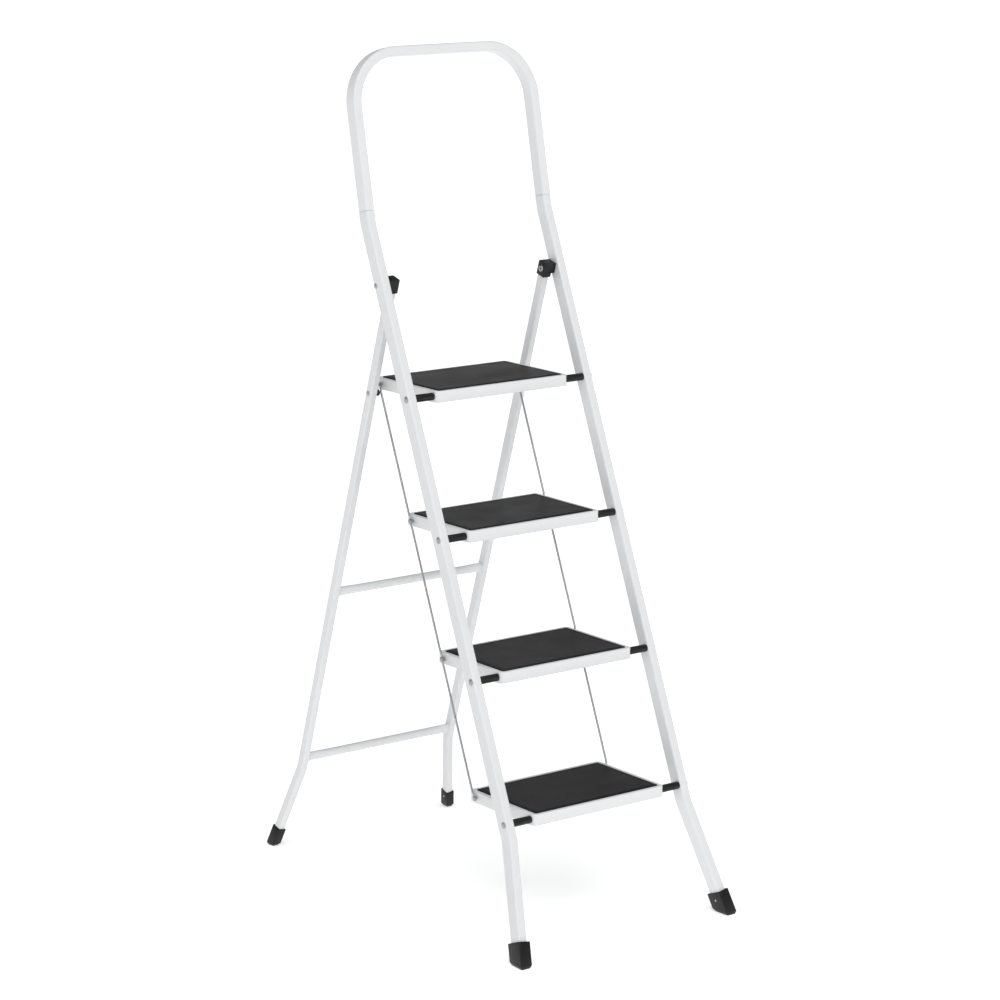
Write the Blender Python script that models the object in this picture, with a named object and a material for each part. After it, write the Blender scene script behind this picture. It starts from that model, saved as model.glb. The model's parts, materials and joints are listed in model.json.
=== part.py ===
"""Folding four-step household ladder with a tall safety hoop.

Metres, +Z up. The climber stands at -Y and faces +Y. The origin is on the floor,
under the middle of the opened ladder.
"""
import bmesh
import bpy
from math import cos, pi, radians, sin, tan
from mathutils import Matrix, Vector

# Layout
STEP_COUNT = 4
STEP_PITCH = 0.240            # rise from one step to the next
BOTTOM_AXLE_Y = -0.3251
BOTTOM_AXLE_Z = 0.2315
STILE_LEAN = radians(22.0)    # front frame, away from the vertical
HOOP_LEAN = radians(11.2)
REAR_LEAN = radians(17.5)
GAP = 0.0003                  # left between touching pieces
SIDES = {"left": -1, "right": 1}

# Front frame tube
STILE_X = 0.2006              # centre line, from the middle plane
STILE_WIDTH = 0.018
STILE_DEPTH = 0.028
STILE_CORNER = 0.0035
TUBE_WALL = 0.0012
AXLE_SETBACK = 0.0058         # axles sit this far in front of the tube's centre line
STILE_END_Z = 0.012
STILE_SPLAY_Z = 0.2020        # below this height the stile runs outwards
STILE_SPLAY = 0.1795          # sideways run for each metre of height
STILE_SPLAY_RADIUS = 0.070
STILE_BEND_Z = 1.2540
STILE_BEND_RADIUS = 0.075
HOOP_JOINT_Z = 1.2765
HOOP_TOP_Z = 1.5535           # centre line of the top rail
HOOP_RADIUS = 0.096
SPIGOT_LENGTH = 0.011
SPIGOT_SHOULDER = 0.004

# Rear frame tube
LEG_X = 0.1748
LEG_WIDTH = 0.014
LEG_DEPTH = 0.0176
LEG_CORNER = 0.0025
LEG_TOP_RISE = 0.011          # tube end above the hinge, along the leg
LEG_END_Z = 0.012
LEG_SPLAY_Z = 0.1650
LEG_SPLAY = 0.2220
LEG_SPLAY_RADIUS = 0.080
CROSSBAR_Z = {"lower": 0.1850, "upper": 0.5365}
CROSSBAR_RADIUS = 0.0080
CROSSBAR_END_HALF = (0.0062, 0.0094)   # flattened end: half thickness, half height
CROSSBAR_FLAT = 0.018
CROSSBAR_TAPER = 0.030

# Hinge between the frames
HINGE_Y = 0.0584
HINGE_Z = 1.1455
HINGE_BOLT_RADIUS = 0.0030
HINGE_HEAD_RADIUS = 0.0046
HINGE_NUT_RADIUS = 0.0060
CAP_WALL = 0.0018
CAP_TOP_RISE = 0.0130         # along the leg, from the hinge
CAP_BOTTOM_DROP = 0.0140
CAP_CHAMFER = 0.0012
CAP_BOSS_DROP = 0.0070

# Steps
TRAY_HALF_WIDTH = 0.1506
TRAY_FRONT = -0.0110          # from the axle
TRAY_REAR = 0.1820
TRAY_TOP = 0.0100
TRAY_BOTTOM = -0.0110
TRAY_CORNER = 0.0080
TRAY_EDGE = 0.0015
SHEET = 0.0012
MAT_HALF_WIDTH = 0.1412
MAT_FRONT = -0.0042
MAT_REAR = 0.1722
MAT_TOP = 0.0112
MAT_CORNER = 0.0040
MAT_EDGE = 0.0006
MAT_SEAT = 0.0086             # floor of the recess that holds the mat
AXLE_RADIUS = 0.0035
AXLE_HEAD_RADIUS = 0.0050
SLEEVE_RADIUS = 0.0070
HEAD_HEIGHT = 0.0020

# Links that keep the steps parallel
LINK_PIVOT = Vector((0, 0.1601, -0.0010))   # from each axle
LINK_WIRE_RADIUS = 0.0020
LINK_WIRE_X = 0.1560
LINK_EYE_SETOFF = 0.0022      # bare shank between the flange and the first eye
LINK_EYE_RADIUS = 0.0050
LINK_EYE_THICKNESS = 0.0024
LINK_NECK_WIDTH = 0.0046      # flattened stretch between an eye and the round wire
LINK_NECK_START = 0.0032
LINK_WIRE_START = 0.0058
LINK_NECK_OVERLAP = 0.0030
RIVET_RADIUS = 0.0022
RIVET_HEAD_RADIUS = 0.0040
RIVET_HEAD_HEIGHT = 0.0016

# Pins and blocks on the rear legs that carry the back of the top step
SUPPORT_PIN = Vector((0, 0.1590, -0.0150))  # from the top axle
SUPPORT_PIN_RADIUS = 0.0030
SUPPORT_HEAD_RADIUS = 0.0045
SUPPORT_BLOCK_HALF = 0.0065   # half its depth, and its reach below the pin
SUPPORT_BLOCK_CORNER = 0.0030
SUPPORT_BLOCK_INNER_X = 0.1596
STUD_END_X = 0.1655           # the top step's rear studs lie on the blocks

# Feet: wall beyond the tube across and along the climbing direction
FRONT_FOOT_WALL = (0.0030, 0.0038)
REAR_FOOT_WALL = (0.0016, 0.0022)
FRONT_FOOT_HEIGHT = 0.039
REAR_FOOT_HEIGHT = 0.038
FOOT_CHAMFER = 0.0030
FOOT_CHAMFER_RISE = 0.0055
FOOT_LIP = 0.0010

UP_STILE = Vector((0, sin(STILE_LEAN), cos(STILE_LEAN)))
BACK_STILE = Vector((0, cos(STILE_LEAN), -sin(STILE_LEAN)))
UP_HOOP = Vector((0, sin(HOOP_LEAN), cos(HOOP_LEAN)))
BACK_HOOP = Vector((0, cos(HOOP_LEAN), -sin(HOOP_LEAN)))
UP_LEG = Vector((0, -sin(REAR_LEAN), cos(REAR_LEAN)))
BACK_LEG = Vector((0, cos(REAR_LEAN), sin(REAR_LEAN)))
HINGE = Vector((0, HINGE_Y, HINGE_Z))
X_AXIS = Vector((1, 0, 0))


# ---- placing ----

def axle_point(index):
    """Point in the middle plane on the axle of a step, counted from the bottom."""
    rise = index * STEP_PITCH
    return Vector((0, BOTTOM_AXLE_Y + rise * tan(STILE_LEAN), BOTTOM_AXLE_Z + rise))


def stile_centre_y(height):
    setback = AXLE_SETBACK / cos(STILE_LEAN)
    return BOTTOM_AXLE_Y + setback + (height - BOTTOM_AXLE_Z) * tan(STILE_LEAN)


def stile_point(side, height):
    run = max(0.0, STILE_SPLAY_Z - height) * STILE_SPLAY
    return Vector((side * (STILE_X + run), stile_centre_y(height), height))


def hoop_point(side, height):
    y = stile_centre_y(STILE_BEND_Z) + (height - STILE_BEND_Z) * tan(HOOP_LEAN)
    return Vector((side * STILE_X, y, height))


def leg_point(side, height):
    run = max(0.0, LEG_SPLAY_Z - height) * LEG_SPLAY
    y = HINGE_Y + (HINGE_Z - height) * tan(REAR_LEAN)
    return Vector((side * (LEG_X + run), y, height))


def frame_at(origin, along, depth):
    """Matrix whose X runs across, Y along depth and Z along the piece."""
    along = along.normalized()
    depth = (depth - along * depth.dot(along)).normalized()
    across = depth.cross(along)
    turn = Matrix((across, depth, along)).transposed().to_4x4()
    return Matrix.Translation(origin) @ turn


def along_x(x, centre):
    """Frame of a section that lies across the X axis."""
    return frame_at(centre + X_AXIS * x, X_AXIS, Vector((0, 0, 1)))


def level(height, middle):
    """Frame of a level section, height above an axle and middle behind it."""
    return Matrix.Translation((0, middle, height))


def bent_path(points, radius, steps):
    """Points and directions along a line whose inner corners are rounded."""
    stations = [(points[0], (points[1] - points[0]).normalized())]
    for before, corner, after in zip(points, points[1:], points[2:]):
        into = (corner - before).normalized()
        out = (after - corner).normalized()
        turn = into.angle(out)
        start = corner - into * radius * tan(turn / 2)
        axis = into.cross(out).normalized()
        centre = start + axis.cross(into) * radius
        for step in range(steps + 1):
            spin = Matrix.Rotation(turn * step / steps, 3, axis)
            stations.append((centre + spin @ (start - centre), spin @ into))
    stations.append((points[-1], (points[-1] - points[-2]).normalized()))
    return stations


# ---- sections ----

def rounded_box(width, depth, corner, steps=2):
    """Outline of a rectangle with round corners, counter-clockwise."""
    outline = []
    for quarter, (sx, sy) in enumerate(((1, 1), (-1, 1), (-1, -1), (1, -1))):
        cx = sx * (width / 2 - corner)
        cy = sy * (depth / 2 - corner)
        for step in range(steps + 1):
            angle = (quarter + step / steps) * pi / 2
            outline.append((cx + corner * cos(angle), cy + corner * sin(angle)))
    return outline


def oval(half_x, half_y, count=20):
    turns = [2 * pi * step / count for step in range(count)]
    return [(half_x * cos(turn), half_y * sin(turn)) for turn in turns]


def circle(radius, count=16):
    return oval(radius, radius, count)


def ring(outline, frame):
    return [frame @ Vector((u, v, 0)) for u, v in outline]


def level_ring(outline, direction, origin_frame, height):
    """The outline slid along direction until it is level at the given height."""
    points = ring(outline, origin_frame)
    return [p + direction * ((height - p.z) / direction.z) for p in points]


# ---- solids ----

def skin(name, rings, material, closed=False):
    """Solid through a chain of rings: closed on itself, or filled at both ends."""
    bm = bmesh.new()
    loops = [[bm.verts.new(point) for point in points] for points in rings]
    pairs = list(zip(loops, loops[1:]))
    if closed:
        pairs.append((loops[-1], loops[0]))
    else:
        bm.faces.new(loops[0])
        bm.faces.new(loops[-1])
    for near, far in pairs:
        for i in range(len(near)):
            j = (i + 1) % len(near)
            bm.faces.new((near[i], near[j], far[j], far[i]))
    bmesh.ops.remove_doubles(bm, verts=bm.verts, dist=1e-7)
    bmesh.ops.recalc_face_normals(bm, faces=bm.faces)
    mesh = bpy.data.meshes.new(name)
    bm.to_mesh(mesh)
    bm.free()
    return add_object(name, mesh, material)


def add_object(name, mesh, material):
    obj = bpy.data.objects.new(name, mesh)
    bpy.context.scene.collection.objects.link(obj)
    if material and not mesh.materials:
        mesh.materials.append(material)
        mesh.shade_smooth()
        mesh.set_sharp_from_angle(angle=radians(35))
    return obj


def set_origin(obj, point):
    """Put the object's origin on its joint without moving the piece."""
    obj.data.transform(Matrix.Translation(-point))
    obj.location = point


def guide(name, rings, closed=False):
    """Helper solid for a Boolean, not part of the ladder."""
    obj = skin(name, rings, None, closed)
    obj.hide_render = True
    obj.display_type = "WIRE"
    return obj


def combine(obj, helper, operation, solver="EXACT"):
    step = obj.modifiers.new(helper.name, "BOOLEAN")
    step.operation = operation
    step.solver = solver
    step.object = helper


def hollow_tube(name, stations, size, corner, depth_of, material):
    """Rectangular tube along stations, open at both ends."""
    outer = rounded_box(size[0], size[1], corner)
    inner = rounded_box(size[0] - 2 * TUBE_WALL, size[1] - 2 * TUBE_WALL, corner - TUBE_WALL)
    frames = [frame_at(point, along, depth_of(along)) for point, along in stations]
    outside = [ring(outer, frame) for frame in frames]
    inside = [ring(inner, frame) for frame in reversed(frames)]
    return skin(name, outside + inside, material, closed=True)


def bush(name, inner_x, outer_x, bore, radius, centre, material):
    """Plain round bush along X."""
    wide = circle(radius)
    narrow = circle(bore)
    rings = [ring(wide, along_x(inner_x, centre)), ring(wide, along_x(outer_x, centre)),
             ring(narrow, along_x(outer_x, centre)), ring(narrow, along_x(inner_x, centre))]
    return skin(name, rings, material, closed=True)


def dome(x, radius, height, sign, centre):
    """Rings of a low domed head on X, from its flat face to its crown."""
    crown = ((1.0, 0.0), (0.88, 0.55), (0.48, 0.95))
    return [ring(circle(radius * share), along_x(x + sign * height * rise, centre))
            for share, rise in crown]


def headed_pin(name, ends, shank, heads, head_height, centre, material):
    """Round pin along X with a domed head at each end, ends being the heads' inner faces."""
    low, high = ends
    left = dome(low, heads[0], head_height, -1, centre)
    right = dome(high, heads[1], head_height, 1, centre)
    body = [ring(circle(shank), along_x(low, centre)), ring(circle(shank), along_x(high, centre))]
    return skin(name, left[::-1] + body + right, material)


def bore_guide(name, centres, radius, reach):
    """One cutter holding a round bore along X at each centre."""
    bm = bmesh.new()
    for centre in centres:
        turn = Matrix.Rotation(pi / 2, 4, "Y")
        place = Matrix.Translation(centre) @ turn
        bmesh.ops.create_cone(bm, cap_ends=True, segments=16, radius1=radius, radius2=radius,
                              depth=2 * reach, matrix=place)
    mesh = bpy.data.meshes.new(name)
    bm.to_mesh(mesh)
    bm.free()
    obj = add_object(name, mesh, None)
    obj.hide_render = True
    obj.display_type = "WIRE"
    return obj


# ---- materials ----

def finish(name, colour, roughness, metallic=0.0):
    material = bpy.data.materials.new(name)
    material.use_nodes = True
    shader = material.node_tree.nodes["Principled BSDF"]
    shader.inputs["Base Color"].default_value = (*colour, 1.0)
    shader.inputs["Roughness"].default_value = roughness
    shader.inputs["Metallic"].default_value = metallic
    material.diffuse_color = (*colour, 1.0)
    return material


def make_finishes():
    return {
        "white": finish("white_powder_coat", (0.83, 0.83, 0.84), 0.42),
        "mat": finish("black_rubber_mat", (0.022, 0.022, 0.024), 0.75),
        "plastic": finish("black_plastic", (0.018, 0.018, 0.019), 0.45),
        "zinc": finish("zinc_plated_steel", (0.52, 0.53, 0.55), 0.35, 1.0),
    }


# ---- front frame ----

def make_stile(side_name, side, finishes, bores):
    corners = [stile_point(side, STILE_END_Z), stile_point(side, STILE_SPLAY_Z)]
    lower = bent_path(corners + [stile_point(side, STILE_BEND_Z)], STILE_SPLAY_RADIUS, 3)
    upper_corners = [stile_point(side, STILE_SPLAY_Z), hoop_point(side, STILE_BEND_Z),
                     hoop_point(side, HOOP_JOINT_Z)]
    upper = bent_path(upper_corners, STILE_BEND_RADIUS, 3)
    stile = hollow_tube(side_name + "_stile", lower[:-1] + upper[1:], (STILE_WIDTH, STILE_DEPTH),
                        STILE_CORNER, lambda along: X_AXIS.cross(along) * -1, finishes["white"])
    for bore in bores:
        combine(stile, bore, "DIFFERENCE", "MANIFOLD")


def make_hoop(finishes):
    """U-shaped rail with a stepped spigot at each end that plugs into a stile."""
    corners = [hoop_point(-1, HOOP_JOINT_Z), hoop_point(-1, HOOP_TOP_Z),
               hoop_point(1, HOOP_TOP_Z), hoop_point(1, HOOP_JOINT_Z)]
    path = bent_path(corners, HOOP_RADIUS, 9)
    full = rounded_box(STILE_WIDTH, STILE_DEPTH, STILE_CORNER)
    inner = rounded_box(STILE_WIDTH - 2 * TUBE_WALL, STILE_DEPTH - 2 * TUBE_WALL,
                        STILE_CORNER - TUBE_WALL)
    shrink = 2 * (TUBE_WALL + GAP)
    plug = rounded_box(STILE_WIDTH - shrink, STILE_DEPTH - shrink, STILE_CORNER - shrink / 2)
    shrink += 2 * TUBE_WALL
    bore = rounded_box(STILE_WIDTH - shrink, STILE_DEPTH - shrink, 0.0008)
    first = frame_at(path[0][0] + UP_HOOP * GAP, path[0][1], BACK_HOOP)
    last = frame_at(path[-1][0] + UP_HOOP * GAP, path[-1][1], BACK_HOOP)
    middle = [frame_at(point, along, BACK_HOOP) for point, along in path[1:-1]]
    outside = [ring(plug, shifted(first, -SPIGOT_LENGTH)), ring(plug, first), ring(full, first)]
    outside += [ring(full, frame) for frame in middle]
    outside += [ring(full, last), ring(plug, last), ring(plug, shifted(last, SPIGOT_LENGTH))]
    inside = [ring(bore, shifted(last, SPIGOT_LENGTH)), ring(bore, shifted(last, -SPIGOT_SHOULDER)),
              ring(inner, shifted(last, -SPIGOT_SHOULDER))]
    inside += [ring(inner, frame) for frame in reversed(middle)]
    inside += [ring(inner, shifted(first, SPIGOT_SHOULDER)),
               ring(bore, shifted(first, SPIGOT_SHOULDER)), ring(bore, shifted(first, -SPIGOT_LENGTH))]
    skin("hoop", outside + inside, finishes["white"], closed=True)


def shifted(frame, distance):
    """The frame moved along its own length."""
    return frame @ Matrix.Translation((0, 0, distance))


def make_foot(name, end, along, depth, tube, wall, height, finishes):
    """Moulded cap on a leg end, with a blind pocket for the tube and a level sole."""
    mouth = end + along * ((height - end.z) / along.z)
    top = frame_at(mouth, along, depth)
    floor = frame_at(end - along * GAP, along, depth)
    width, length = tube[0] + 2 * wall[0], tube[1] + 2 * wall[1]
    outer = rounded_box(width, length, tube[2] + wall[0] / 2)
    lip = rounded_box(width - 2 * FOOT_LIP, length - 2 * FOOT_LIP, tube[2])
    sole = rounded_box(width - 2 * FOOT_CHAMFER, length - 2 * FOOT_CHAMFER, tube[2])
    pocket = rounded_box(tube[0] + 2 * GAP, tube[1] + 2 * GAP, tube[2] + GAP)
    chain = [level_ring(sole, along, top, 0.0), level_ring(outer, along, top, FOOT_CHAMFER_RISE),
             ring(outer, shifted(top, -FOOT_LIP)), ring(lip, top), ring(pocket, top),
             ring(pocket, floor)]
    return skin(name, chain, finishes["plastic"])


def make_front_foot(side_name, side, finishes):
    end = stile_point(side, STILE_END_Z)
    along = (stile_point(side, STILE_SPLAY_Z) - end).normalized()
    make_foot("front_" + side_name + "_foot", end, along, BACK_STILE,
              (STILE_WIDTH, STILE_DEPTH, STILE_CORNER), FRONT_FOOT_WALL, FRONT_FOOT_HEIGHT, finishes)


def make_axle(number, centre, finishes):
    face = STILE_X + STILE_WIDTH / 2 + GAP
    headed_pin(f"step_axle_{number}", (-face, face), AXLE_RADIUS,
               (AXLE_HEAD_RADIUS, AXLE_HEAD_RADIUS), HEAD_HEIGHT, centre, finishes["zinc"])


def make_sleeve(number, side_name, side, centre, finishes):
    near = TRAY_HALF_WIDTH + GAP
    far = STILE_X - STILE_WIDTH / 2 - GAP
    bush(f"{side_name}_sleeve_{number}", side * near, side * far, AXLE_RADIUS + GAP,
         SLEEVE_RADIUS, centre, finishes["plastic"])


# ---- hinge ----

def make_hinge_bolt(side_name, side, finishes):
    outer = STILE_X + STILE_WIDTH / 2 + GAP
    inner = LEG_X - LEG_WIDTH / 2 - CAP_WALL - 2 * GAP
    ends = sorted((side * outer, side * inner))
    heads = [HINGE_NUT_RADIUS, HINGE_HEAD_RADIUS][::side]
    headed_pin(side_name + "_hinge_bolt", ends, HINGE_BOLT_RADIUS, heads, HEAD_HEIGHT,
               HINGE, finishes["zinc"])


def make_hinge_cap(side_name, side, finishes, bolt_bore):
    """Moulded cap over the leg's top end, with a boss that reaches the stile."""
    centre = HINGE + X_AXIS * side * LEG_X
    base = frame_at(centre, UP_LEG, BACK_LEG)
    width = LEG_WIDTH + 2 * (CAP_WALL + GAP)
    depth = LEG_DEPTH + 2 * (CAP_WALL + GAP)
    outer = rounded_box(width, depth, LEG_CORNER + CAP_WALL / 2)
    crown = rounded_box(width - 2 * CAP_CHAMFER, depth - 2 * CAP_CHAMFER, LEG_CORNER)
    pocket = rounded_box(LEG_WIDTH + 2 * GAP, LEG_DEPTH + 2 * GAP, LEG_CORNER + GAP)
    bottom = shifted(base, -CAP_BOTTOM_DROP)
    chain = [ring(pocket, shifted(base, LEG_TOP_RISE + GAP)), ring(pocket, bottom),
             ring(outer, bottom), ring(outer, shifted(base, CAP_TOP_RISE - CAP_CHAMFER)),
             ring(crown, shifted(base, CAP_TOP_RISE))]
    cap = skin(side_name + "_hinge_cap", chain, finishes["plastic"])
    combine(cap, make_cap_boss(side_name, side, depth), "UNION")
    combine(cap, bolt_bore, "DIFFERENCE")
    return cap


def make_cap_boss(side_name, side, depth):
    start = LEG_X + LEG_WIDTH / 2 + GAP + CAP_WALL / 2
    end = STILE_X - STILE_WIDTH / 2 - GAP
    tall = CAP_TOP_RISE + CAP_BOSS_DROP
    outline = rounded_box(tall, depth, CAP_CHAMFER)
    middle = HINGE + UP_LEG * (CAP_TOP_RISE - tall / 2)
    rings = [ring(outline, frame_at(middle + X_AXIS * side * x, X_AXIS * side, BACK_LEG))
             for x in (start, end)]
    return guide(side_name + "_cap_boss_guide", rings)


# ---- rear frame ----

def make_rear_leg(side_name, side, finishes, bores):
    top = HINGE + X_AXIS * side * LEG_X + UP_LEG * LEG_TOP_RISE
    corners = [leg_point(side, LEG_END_Z), leg_point(side, LEG_SPLAY_Z), top]
    leg = hollow_tube(side_name + "_rear_leg", bent_path(corners, LEG_SPLAY_RADIUS, 3),
                      (LEG_WIDTH, LEG_DEPTH), LEG_CORNER, lambda along: BACK_LEG, finishes["white"])
    for bore in bores:
        combine(leg, bore, "DIFFERENCE")
    return leg


def make_rear_foot(side_name, side, finishes):
    end = leg_point(side, LEG_END_Z)
    along = (leg_point(side, LEG_SPLAY_Z) - end).normalized()
    return make_foot("rear_" + side_name + "_foot", end, along, BACK_LEG,
                     (LEG_WIDTH, LEG_DEPTH, LEG_CORNER), REAR_FOOT_WALL, REAR_FOOT_HEIGHT, finishes)


def make_crossbar(level_name, height, finishes):
    """Round tube between the rear legs, pressed flat towards its welded ends."""
    centre = leg_point(0, height)
    reach = LEG_X - LEG_WIDTH / 2 - GAP
    round_end = reach - CROSSBAR_FLAT - CROSSBAR_TAPER
    flat, tall = CROSSBAR_END_HALF
    spots = [(-reach, flat, tall), (CROSSBAR_FLAT - reach, flat, tall),
             (-round_end, CROSSBAR_RADIUS, CROSSBAR_RADIUS)]
    spots += [(-x, half, high) for x, half, high in reversed(spots)]
    frames = [frame_at(centre + X_AXIS * x, X_AXIS, UP_LEG) for x, half, high in spots]
    outside = [ring(oval(half, high), frame)
               for (x, half, high), frame in zip(spots, frames)]
    inside = [ring(oval(half - TUBE_WALL, high - TUBE_WALL), frame)
              for (x, half, high), frame in zip(spots, frames)]
    return skin(level_name + "_crossbar", outside + inside[::-1], finishes["white"], closed=True)


def support_pin_centre():
    return axle_point(STEP_COUNT - 1) + SUPPORT_PIN


def make_support_pin(side_name, side, finishes):
    """Pin through the leg and its support block, with its larger head outside the leg."""
    outer = LEG_X + LEG_WIDTH / 2 + GAP
    inner = SUPPORT_BLOCK_INNER_X - GAP
    ends = sorted((side * outer, side * inner))
    heads = [SUPPORT_PIN_RADIUS + 2 * GAP, SUPPORT_HEAD_RADIUS][::side]
    return headed_pin(side_name + "_support_pin", ends, SUPPORT_PIN_RADIUS, heads,
                      RIVET_HEAD_HEIGHT / 2, support_pin_centre(), finishes["zinc"])


def make_support_block(side_name, side, finishes, bore):
    """Block on the leg's inner face whose flat top carries the top step's stud."""
    far = LEG_X - LEG_WIDTH / 2 - GAP
    stud_bottom = LINK_PIVOT.z - RIVET_RADIUS - GAP
    pin = support_pin_centre()
    below = pin.z - SUPPORT_BLOCK_HALF
    top = axle_point(STEP_COUNT - 1).z + stud_bottom
    middle = Vector((0, pin.y, (below + top) / 2))
    outline = rounded_box(top - below, 2 * SUPPORT_BLOCK_HALF, SUPPORT_BLOCK_CORNER)
    rings = [ring(outline, frame_at(middle + X_AXIS * side * x, X_AXIS, Vector((0, 1, 0))))
             for x in (SUPPORT_BLOCK_INNER_X, far)]
    block = skin(side_name + "_support_block", rings, finishes["plastic"])
    combine(block, bore, "DIFFERENCE")
    return block


# ---- steps ----

def make_tray_mesh(finishes):
    """Pressed tray about its axle: top sheet, turned-down rim, recess for the mat."""
    width, length = 2 * TRAY_HALF_WIDTH, TRAY_REAR - TRAY_FRONT
    middle = (TRAY_REAR + TRAY_FRONT) / 2
    mat_middle = (MAT_REAR + MAT_FRONT) / 2
    outer = rounded_box(width, length, TRAY_CORNER, 4)
    edge = rounded_box(width - 2 * TRAY_EDGE, length - 2 * TRAY_EDGE, TRAY_CORNER - TRAY_EDGE, 4)
    bevel = rounded_box(width - TRAY_EDGE / 2, length - TRAY_EDGE / 2, TRAY_CORNER - TRAY_EDGE / 4, 4)
    inner = rounded_box(width - 2 * SHEET, length - 2 * SHEET, TRAY_CORNER - SHEET, 4)
    recess = rounded_box(2 * (MAT_HALF_WIDTH + 2 * GAP), MAT_REAR - MAT_FRONT + 4 * GAP,
                         MAT_CORNER + 2 * GAP, 4)
    chain = [ring(inner, level(MAT_SEAT - SHEET, middle)), ring(inner, level(TRAY_BOTTOM, middle)),
             ring(outer, level(TRAY_BOTTOM, middle)), ring(outer, level(TRAY_TOP - TRAY_EDGE, middle)),
             ring(bevel, level(TRAY_TOP - TRAY_EDGE / 3, middle)), ring(edge, level(TRAY_TOP, middle)),
             ring(recess, level(TRAY_TOP, mat_middle)), ring(recess, level(MAT_SEAT, mat_middle))]
    return skin("step_tray_1", chain, finishes["white"])


def make_mat_mesh(finishes):
    """Rubber mat with a softened top edge, about the axle."""
    width, length = 2 * MAT_HALF_WIDTH, MAT_REAR - MAT_FRONT
    middle = (MAT_REAR + MAT_FRONT) / 2
    outer = rounded_box(width, length, MAT_CORNER, 4)
    top = rounded_box(width - 2 * MAT_EDGE, length - 2 * MAT_EDGE, MAT_CORNER - MAT_EDGE, 4)
    chain = [ring(outer, level(MAT_SEAT + GAP, middle)), ring(outer, level(MAT_TOP - MAT_EDGE, middle)),
             ring(top, level(MAT_TOP, middle))]
    return skin("step_mat_1", chain, finishes["mat"])


def make_steps(finishes):
    tray = make_tray_mesh(finishes)
    mat = make_mat_mesh(finishes)
    axle_bore = bore_guide("tray_axle_guide", [Vector()], AXLE_RADIUS + GAP, 2 * TRAY_HALF_WIDTH)
    rivet_bore = bore_guide("tray_rivet_guide", [LINK_PIVOT], RIVET_RADIUS + GAP, 2 * TRAY_HALF_WIDTH)
    for index in range(STEP_COUNT):
        centre = axle_point(index)
        if index:
            tray = add_object(f"step_tray_{index + 1}", tray.data, finishes["white"])
            mat = add_object(f"step_mat_{index + 1}", mat.data, finishes["mat"])
        for piece in (tray, mat):
            piece.location = centre
        for bore in (axle_bore, rivet_bore):
            own = bore if index == 0 else add_guide_copy(bore, index)
            own.location = centre
            combine(tray, own, "DIFFERENCE")
        make_axle(index + 1, centre, finishes)
        for side_name, side in SIDES.items():
            make_sleeve(index + 1, side_name, side, centre, finishes)
            rivet = make_rivet(index + 1, side_name, side, centre + LINK_PIVOT, finishes)
            set_origin(rivet, centre)


def add_guide_copy(source, index):
    copy = add_object(f"{source.name}_{index + 1}", source.data, None)
    copy.hide_render = True
    copy.display_type = "WIRE"
    return copy


# ---- links ----

def eye_layers(index):
    """Eyes stacked on the pivot of a step: one at the ends, two between them."""
    return 1 if index in (0, STEP_COUNT - 1) else 2


def layer_x(layer):
    """Middle of an eye, counted outwards from the tray's flange."""
    first = TRAY_HALF_WIDTH + LINK_EYE_SETOFF
    return first + (layer + 1) * GAP + (layer + 0.5) * LINK_EYE_THICKNESS


def make_rivet(number, side_name, side, centre, finishes):
    """Rivet through the links' eyes and the tray's side flange; a stud on the top step."""
    layers = eye_layers(number - 1)
    outer = layer_x(layers - 1) + LINK_EYE_THICKNESS / 2 + GAP
    inner = TRAY_HALF_WIDTH - SHEET - GAP
    outer_head = RIVET_HEAD_RADIUS
    if number == STEP_COUNT:
        outer = STUD_END_X
        outer_head = RIVET_RADIUS
    ends = sorted((side * outer, side * inner))
    heads = [RIVET_HEAD_RADIUS, outer_head][::side]
    return headed_pin(f"{side_name}_rivet_{number}", ends, RIVET_RADIUS, heads,
                      RIVET_HEAD_HEIGHT, centre, finishes["zinc"])


def make_link(side_name, side, index, finishes):
    """Wire from a step's rear pivot to the next one's, flattened into an eye at each end."""
    name = f"{side_name}_link_{index + 1}"
    pivot = axle_point(index) + LINK_PIVOT
    reach = STEP_PITCH / cos(STILE_LEAN)
    wire_x = X_AXIS * side * LINK_WIRE_X
    rings = [ring(circle(LINK_WIRE_RADIUS, 12), frame_at(pivot + wire_x + UP_STILE * run,
                                                         UP_STILE, BACK_STILE))
             for run in (LINK_WIRE_START, reach - LINK_WIRE_START)]
    link = skin(name, rings, finishes["zinc"])
    for end, run, way, layer in (("low", 0.0, 1, 0), ("high", reach, -1, eye_layers(index + 1) - 1)):
        centre = pivot + UP_STILE * run + X_AXIS * side * layer_x(layer)
        combine(link, make_eye(f"{name}_{end}_eye_guide", centre), "UNION")
        combine(link, make_neck(f"{name}_{end}_neck_guide", centre, way), "UNION")
    set_origin(link, pivot)


def make_eye(name, centre):
    half = LINK_EYE_THICKNESS / 2
    eye = circle(LINK_EYE_RADIUS)
    bore = circle(RIVET_RADIUS + GAP)
    rings = [ring(outline, along_x(x, centre))
             for outline, x in ((eye, -half), (eye, half), (bore, half), (bore, -half))]
    return guide(name, rings, closed=True)


def make_neck(name, centre, way):
    outline = rounded_box(LINK_EYE_THICKNESS, LINK_NECK_WIDTH, 0.0004)
    runs = (LINK_NECK_START, LINK_WIRE_START + LINK_NECK_OVERLAP)
    rings = [ring(outline, frame_at(centre + UP_STILE * run * way, UP_STILE, BACK_STILE))
             for run in runs]
    return guide(name, rings)


def make_links(finishes):
    for side_name, side in SIDES.items():
        for index in range(STEP_COUNT - 1):
            make_link(side_name, side, index, finishes)


def clear_scene():
    for obj in list(bpy.data.objects):
        bpy.data.objects.remove(obj, do_unlink=True)


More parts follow.
